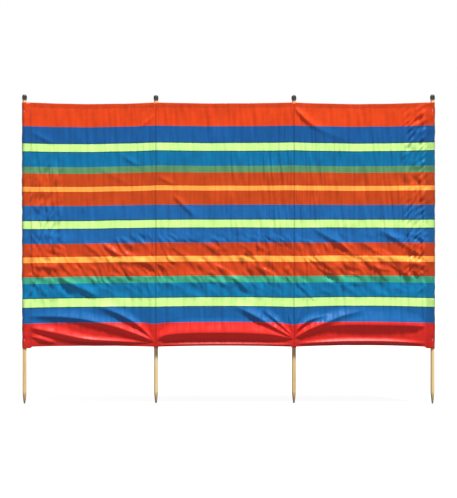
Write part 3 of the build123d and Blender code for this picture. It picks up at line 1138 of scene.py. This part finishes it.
def make_pole(number):
    """A dowel with a blunt point at its foot."""
    x, y = pole_axes[number - 1]
    bpy.ops.mesh.primitive_cylinder_add(vertices=40, radius=pole_radius, depth=pole_top - POINT_LENGTH,
                                        location=(x, y, (pole_top + POINT_LENGTH) / 2))
    bpy.ops.object.transform_apply(location=True)
    piece = begin(f"wood_pole_{number}")
    pick(piece, "FACE", faces_down)
    bpy.ops.mesh.extrude_region_move(TRANSFORM_OT_translate={"value": (0, 0, -POINT_LENGTH)})
    bpy.ops.transform.resize(value=(TIP_SHARE, TIP_SHARE, 1), center_override=(x, y, 0))
    bevel_level(piece, 0, TIP_ROUND, 3)
    bevel_level(piece, POINT_LENGTH, POINT_ROUND, 4)
    bevel_level(piece, pole_top, TOP_ROUND, 3)
    return finish(piece, 40)


poles = [make_pole(n + 1) for n in range(POLES)]
print("poles are", round(pole_top, 3), "m long")


# %% Pine wood
def make_wood():
    """Pale pine with grain and rings, and darker towards its point."""
    material, tree = new_material("pine")
    place = add(tree, "TexCoord").outputs["Object"]
    grain = noise(tree, place, 1.0, 5.0, stretch=(260, 260, 7), Roughness=0.6, Distortion=0.4)
    rings = noise(tree, place, 1.0, 2.0, stretch=(70, 70, 1.6), Distortion=1.2)
    tones = (0.30, linear(205, 160, 96)), (0.46, linear(232, 198, 138)), (0.62, linear(240, 212, 156))
    fine = spread(tree, grain, 0.86, 1.04, 0.3, 0.7)
    colour = mixed(tree, "MULTIPLY", 1.0, ramp(tree, rings, tones), fine)
    height = add(tree, "SeparateXYZ", {"Vector": place}).outputs["Z"]
    darker_to_point = spread(tree, height, 0.75, 0.0, 8 * MM, 60 * MM)
    finish_surface(tree, {
        "Base Color": mixed(tree, "MIX", darker_to_point, colour, linear(118, 96, 62)),
        "Roughness": 0.55,
        "Normal": bump(tree, grain, 0.3, 0.3 * MM),
    })
    return material


dress(poles, "pole", make_wood())

# %% [markdown]
# ## Moulded caps
# Each pole ends in a black plastic cap, so that nobody is hurt by its top. It is a cup with a rounded
# shoulder and a lip round its mouth. The cylinder's open end is extruded outwards and down for the lip,
# then inwards and up for the bore, which is how the mould shapes it. Scuffs make its black uneven.

# %% Caps
CAP_RADIUS = 12 * MM
LIP_HEIGHT = 3 * MM
DOME_ROUND, LIP_ROUND = 11.2 * MM, 0.5 * MM
RIM_SHARE = 0.97  # what lies further out than this share of the lip's radius is its rim
lip_radius = (cap_high.x - cap_low.x) / 2


def make_cap(number):
    """A domed cap with a lip and a bore, closed over the end of its pole."""
    x, y = pole_axes[number - 1]
    mouth, top = cap_low.z, cap_high.z
    lip = mouth + LIP_HEIGHT
    bpy.ops.mesh.primitive_cylinder_add(vertices=48, radius=CAP_RADIUS, depth=top - lip,
                                        location=(x, y, (top + lip) / 2))
    bpy.ops.object.transform_apply(location=True)
    piece = begin(f"plastic_cap_{number}")
    bevel_level(piece, top, DOME_ROUND, 10)
    pick(piece, "FACE", faces_down)
    bpy.ops.mesh.delete(type="ONLY_FACE")
    pick(piece, "EDGE", lambda a, b: level(a, b, lip))
    steps = (lip_radius / CAP_RADIUS, mouth - lip), (pole_radius / lip_radius, pole_top - mouth)
    for share, rise in steps:
        bpy.ops.mesh.extrude_edges_move()
        bpy.ops.transform.resize(value=(share, share, 1), center_override=(x, y, 0))
        bpy.ops.mesh.extrude_edges_move(TRANSFORM_OT_translate={"value": (0, 0, rise)})
    bpy.ops.mesh.edge_face_add()

    def from_rim(a, b):
        """True for a level edge of the lip that starts on its rim, so also for some that run inwards."""
        on_rim = math.hypot(a.x - x, a.y - y) > RIM_SHARE * lip_radius
        return max(a.z, b.z) < lip + NEAR and level(a, b, a.z) and on_rim

    pick(piece, "EDGE", from_rim)
    bpy.ops.mesh.bevel(offset=LIP_ROUND, segments=3)
    return finish(piece, 40)


caps = [make_cap(n + 1) for n in range(POLES)]
print("caps are", round(2 * lip_radius / MM, 1), "mm wide at the lip")


# %% Black moulded plastic
def make_plastic():
    """Black with scuffs."""
    material, tree = new_material("black plastic")
    scuffs = noise(tree, add(tree, "TexCoord").outputs["Object"], 420.0, 4.0)
    finish_surface(tree, {
        "Base Color": ramp(tree, scuffs, [(0.35, linear(16, 16, 18)), (0.75, linear(38, 38, 41))]),
        "Roughness": spread(tree, scuffs, 0.34, 0.48, 0.3, 0.7),
        "Normal": bump(tree, scuffs, 0.1, 0.05 * MM),
    })
    return material


dress(caps, "cap", make_plastic())

# %% [markdown]
# ## Stitches
# A lockstitch seam shows as a row of short, plump threads, each pulled in at both ends. One is modelled
# with few faces, and the rows are copies of it laid on the surface of the cloth, because thousands of
# finely made ones would make the model heavy and look the same.

# %% One stitch
STITCH, THREAD_RADIUS = 3.6 * MM, 0.32 * MM
STITCH_END = 0.7 * MM  # the length that goes down into the cloth at either end
END_SHARE, END_DEPTH = 0.45, 0.18 * MM  # how thin and how deep its ends are
bpy.ops.mesh.primitive_cylinder_add(vertices=6, radius=THREAD_RADIUS, depth=STITCH,
                                    rotation=(0, math.pi / 2, 0))
bpy.ops.object.transform_apply(rotation=True)
stitch = begin("stitch")
for end in (-1, 1):
    pick(stitch, "FACE", lambda centre, normal: normal.x * end > 0.9)
    bpy.ops.mesh.extrude_region_move(TRANSFORM_OT_translate={"value": (STITCH_END * end, 0, 0)})
    tip = end * (STITCH / 2 + STITCH_END)
    bpy.ops.transform.resize(value=(1, END_SHARE, END_SHARE), center_override=(tip, 0, 0))
    bpy.ops.transform.translate(value=(0, END_DEPTH, 0))
stitch = finish(stitch, 60)
stitch_points = np.array([v.co[:] for v in stitch.data.vertices])
stitch_faces = [list(p.vertices) for p in stitch.data.polygons]
bpy.data.objects.remove(stitch)
print("one stitch has", len(stitch_faces), "faces")


# %% Sewing thread
def make_thread():
    """Twisted dark blue thread."""
    material, tree = new_material("sewing thread")
    twist = noise(tree, add(tree, "TexCoord").outputs["Object"], 2500.0, 2.0)
    colour = mixed(tree, "MIX", twist, linear(16, 20, 34), linear(52, 58, 84))
    finish_surface(tree, {"Base Color": colour, "Roughness": 0.6})
    return material


thread = make_thread()
print("the thread's material is", thread.name)

# %% Stitches laid along rows
STITCH_OUT = 0.12 * MM  # how far a stitch's middle is from the cloth


def unit(vectors):
    """The same directions, one metre long."""
    return vectors / np.linalg.norm(vectors, axis=1, keepdims=True)


def stitch_rows(name, rows, body):
    """One piece of stitches. Each row is (points, outward directions), one entry for each stitch."""
    placed = []
    for points, outward in rows:
        along = unit(np.gradient(points, axis=0))
        outward = unit(outward - (outward * along).sum(1, keepdims=True) * along)
        axes = np.stack([along, -outward, np.cross(along, -outward)], 1)
        turned = np.einsum("kj,nja->nka", stitch_points, axes)
        placed.append(points[:, None, :] + outward[:, None, :] * STITCH_OUT + turned)
    placed = np.concatenate(placed)
    bases = np.arange(len(placed)) * len(stitch_points)
    faces = [[base + v for v in face] for base in bases.tolist() for face in stitch_faces]
    piece = make_mesh(name, placed.reshape(-1, 3), faces)
    piece.data.materials.append(thread)
    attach(piece, body)
    print(name, "has", len(placed), "stitches")


# %% Rows of stitches on the cloth
STITCH_STEP = 6.5
HEM_ROW = 3  # from the edge of the hem, in mm
ROW_START = 9  # the rows along the hems start this far from a seam
SEAM_ROWS = 2.5, 6.5  # from an end sleeve's seam
SEWN_LAYER = 1.1  # from the front of the cloth to the middle of the layer that is sewn down behind it
NECK_ROW = 2.5  # from the end of an inner sleeve's neck
up_the_cloth = np.arange(6, height_mm - 4, STITCH_STEP)


def bay_row(bay, x, heights, layer):
    """Stitches on a bay, on its front or on a layer behind it, along one or the other list of places."""
    table = np.array([(height, layer, 0, height) for height in heights])
    points = cloth_points(bay, *on_front(bay, x), np.ones(len(x)), table).reshape(-1, 3)
    side = 1 if layer else -1
    points[:, 1] += side * CLOTH_THICK / 2
    return points * MM, np.tile((0.0, side, 0.0), (len(points), 1))


def neck_row(number, side):
    """Stitches up one side of the neck that closes an inner sleeve."""
    place, outward = np.array([[side * NECK_GAP, NECK - NECK_ROW]]), np.array([[side, 0.0]])
    points = inner_sleeve_points(number, place, outward, up_the_cloth)[0]
    points[:, 0] += side * CLOTH_THICK / 2
    return points * MM, np.tile((side, 0.0, 0.0), (len(points), 1))


for bay, (left, right) in enumerate(bay_ends):
    x = np.arange(left + ROW_START, right - ROW_START + 1, STITCH_STEP)
    hem_rows = [bay_row(bay, x, [height], layer)
                for height in (HEM - HEM_ROW, height_mm - HEM + HEM_ROW) for layer in (0, HEM_BACK)]
    seams = ([left + away for away in SEAM_ROWS], [], [right - away for away in SEAM_ROWS])[bay]
    seam_rows = [bay_row(bay, np.array([seam]), up_the_cloth, layer)
                 for seam in seams for layer in (0, SEWN_LAYER)]
    stitch_rows(f"stitches_bay_{bay + 1}", hem_rows + seam_rows, f"bay_{bay + 1}")
for number in inner_sleeves:
    stitch_rows(f"stitches_sleeve_{number}", [neck_row(number, side) for side in (-1, 1)], f"post_{number}")

# %% [markdown]
# ## Staples
# The sleeves are wider than their poles, so the cloth would slide down. Two steel staples through each
# sleeve hold it, one near the top and one near the bottom: in front on the end poles, and behind on the
# inner ones. They stand upright, since a staple across a round pole would touch it only in its middle. One
# is modelled as flat wire with two legs and copied, and its legs go into the wood.

# %% One staple
CROWN, WIRE = 11 * MM, 0.9 * MM
WIRE_WIDTH, WIRE_DEPTH, LEG = 1.2 * MM, 0.6 * MM, 6 * MM
bpy.ops.mesh.primitive_cube_add(size=1)
bpy.ops.transform.resize(value=(WIRE_WIDTH, WIRE_DEPTH, CROWN))
bpy.ops.object.transform_apply(location=True, rotation=True, scale=True)
staple = begin("staple")
for end in (-1, 1):
    bpy.ops.mesh.select_all(action="SELECT")
    bpy.ops.mesh.bisect(plane_co=(0, 0, end * (CROWN / 2 - WIRE)), plane_no=(0, 0, 1))
pick(staple, "FACE", lambda centre, normal: normal.y > 0.9 and abs(centre.z) > CROWN / 2 - WIRE)
bpy.ops.mesh.extrude_region_move(TRANSFORM_OT_translate={"value": (0, LEG, 0)})
pick(staple, "EDGE", lambda a, b: max(a.y, b.y) < 0 and abs(a.z + b.z) > 1.99 * CROWN / 2)
bpy.ops.mesh.bevel(offset=0.5 * MM, segments=4)
staple = finish(staple, 50)
print("one staple has", len(staple.data.polygons), "faces")


# %% Bright steel
def make_steel():
    """Steel wire with faint marks along it, as drawing leaves them."""
    material, tree = new_material("bright steel")
    drawn = noise(tree, add(tree, "TexCoord").outputs["Object"], 1.0, 3.0, stretch=(4000, 4000, 300))
    finish_surface(tree, {
        "Base Color": mixed(tree, "MIX", drawn, linear(150, 152, 156), linear(206, 208, 212)),
        "Metallic": 1.0,
        "Roughness": spread(tree, drawn, 0.24, 0.42, 0.3, 0.7),
        "Normal": bump(tree, drawn, 0.2, 0.02 * MM),
    })
    return material


steel = make_steel()
print("the staples' material is", steel.name)


# %% Staples in the poles
def staple_place(number, height):
    """Where the middle of the cloth is under the staple, and 1 if that is behind the pole, or -1."""
    if number in inner_sleeves:
        place, outward = np.array([[0.0, axes_mm[1][1] + INNER_RADIUS]]), np.array([[0.0, 1.0]])
        return inner_sleeve_points(number, place, outward, np.array([height]))[0, 0], 1
    place, outward = np.array([[axes_mm[number - 1][0], -SLEEVE_RADIUS]]), np.array([[0.0, -1.0]])
    row = np.array([(height, 0, 0, height)])
    return cloth_points(0 if number == 1 else 2, place, outward, np.zeros(1), row)[0, 0], -1


STAPLE_OUT = CLOTH_THICK / 2 + 0.22  # from the middle of the cloth to the middle of the staple's wire
for number, body in enumerate(pole_bodies, 1):
    for height, word in zip(STAPLE_HEIGHTS, ("low", "high")):
        (x, y, z), side = staple_place(number, height)
        piece = staple.copy()
        piece.data = staple.data.copy()
        piece.name = piece.data.name = f"staple_{number}_{word}"
        turn = Matrix.Rotation(math.pi if side > 0 else 0, 4, "Z")
        piece.data.transform(Matrix.Translation(Vector((x, y + side * STAPLE_OUT, z)) * MM) @ turn)
        bpy.context.scene.collection.objects.link(piece)
        piece.data.materials.append(steel)
        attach(piece, body)
bpy.data.objects.remove(staple)
print("two staples hold each sleeve, at", [round(height) for height in STAPLE_HEIGHTS], "mm up the cloth")

# %% [markdown]
# ## The studio
# The windbreak stands on a pale floor in front of white. A distant, slightly soft light shines from high in
# front and a little to the right, so each fold is light on top and dark beneath. A weaker lamp above and
# behind lights the back. The white that the camera and reflections see is kept apart from the light that
# falls on things, so the picture is bright and the cloth keeps its colours.


# %% What the camera and reflections see
def seen_directly(tree):
    """1 for what the camera, a reflection or a clear piece shows, and 0 for light that falls on things."""
    path = add(tree, "LightPath")
    total = path.outputs["Is Camera Ray"]
    for name in ("Is Glossy Ray", "Is Transmission Ray"):
        total = add(tree, "Math", {0: total, 1: path.outputs[name]}, operation="MAXIMUM").outputs[0]
    return total


WHITE = 1, 1, 1, 1
middle = Vector([(low + high) / 2 for low, high in zip(*cad_box)])
print("the middle of the windbreak is at", [round(c, 3) for c in middle])

# %% Floor
FLOOR_SIZE = 60
FLOOR_DROP = 0.5 * MM  # how far it is below the poles' tips
FLOOR_GLOW = 0.86  # under the windbreak, so that its shadow shows
FLOOR_WHITE = 1.2, 4.0  # from and to these distances it grows to white


def make_floor():
    """A wide floor just under the poles, which fades to white."""
    bpy.ops.mesh.primitive_plane_add(size=FLOOR_SIZE, location=(1, 0, -FLOOR_DROP))
    floor = bpy.context.object
    floor.name = "studio_floor"
    material, tree = new_material("pale floor")
    place = add(tree, "TexCoord").outputs["Object"]
    distance = add(tree, "VectorMath", {0: place, 1: (middle.x, middle.y, 0)}, operation="DISTANCE")
    glow = spread(tree, distance.outputs["Value"], FLOOR_GLOW, 1.0, *FLOOR_WHITE)
    strength = add(tree, "Math", {0: seen_directly(tree), 1: glow}, operation="MULTIPLY").outputs[0]
    finish_surface(tree, {
        "Base Color": (0.12, 0.12, 0.12, 1),
        "Roughness": 0.9,
        "Specular IOR Level": 0.1,
        "Emission Color": WHITE,
        "Emission Strength": strength,
    })
    floor.data.materials.append(material)
    return floor


print("the floor is", make_floor().dimensions.x, "m wide")

# %% World
AMBIENT = 0.15


def make_world():
    """White to look at, but with little light of its own."""
    world = bpy.context.scene.world or bpy.data.worlds.new("studio")
    bpy.context.scene.world = world
    world.use_nodes = True
    tree = world.node_tree
    tree.nodes.clear()
    light = add(tree, "Background", {"Color": WHITE, "Strength": AMBIENT}).outputs[0]
    white = add(tree, "Background", {"Color": WHITE, "Strength": 1.0}).outputs[0]
    choice = add(tree, "MixShader", {0: seen_directly(tree), 1: light, 2: white})
    add(tree, "OutputWorld", {"Surface": choice.outputs[0]})


make_world()
print("light from all around:", AMBIENT)

# %% Lamps
SUN_POWER, SUN_SIZE = 6.9, math.radians(9)
SUN_HEIGHT, SUN_SWING = math.radians(69), math.radians(22)
FILL_PLACE = Vector((0, 2.4, 3.0))  # from the middle of the windbreak, in metres
FILL_POWER, FILL_SIZE = 90, (2.6, 0.9)


def add_lamp(name, kind, power, place, beam, **settings):
    """A lamp at a place that shines along a beam."""
    data = bpy.data.lights.new(name, kind)
    data.energy = power
    for setting, value in settings.items():
        setattr(data, setting, value)
    lamp = bpy.data.objects.new(name, data)
    bpy.context.scene.collection.objects.link(lamp)
    lamp.location = place
    lamp.rotation_euler = beam.to_track_quat("-Z", "Y").to_euler()
    print(name, "has a power of", power)


sun_beam = Vector((-math.sin(SUN_SWING), math.cos(SUN_SWING), -math.tan(SUN_HEIGHT)))
add_lamp("high_front_light", "SUN", SUN_POWER, (0, 0, 0), sun_beam, angle=SUN_SIZE)
add_lamp("back_fill", "AREA", FILL_POWER, middle + FILL_PLACE, -FILL_PLACE,
         shape="RECTANGLE", size=FILL_SIZE[0], size_y=FILL_SIZE[1])

# %% Camera
CAMERA_DISTANCE = 8.0
VIEW_WIDTH = 2.25  # what the camera sees at the windbreak, in metres
SENSOR = 36
camera_data = bpy.data.cameras.new("camera")
camera_data.sensor_fit = "HORIZONTAL"
camera_data.sensor_width = SENSOR
camera_data.lens = SENSOR * CAMERA_DISTANCE / VIEW_WIDTH
camera = bpy.data.objects.new("camera", camera_data)
bpy.context.scene.collection.objects.link(camera)
camera.location = middle + Vector((0, -CAMERA_DISTANCE, 0))
camera.rotation_euler = (math.pi / 2, 0, 0)
bpy.context.scene.camera = camera
bpy.context.scene.view_settings.view_transform = "Standard"
print("the lens is", camera_data.lens, "mm long")
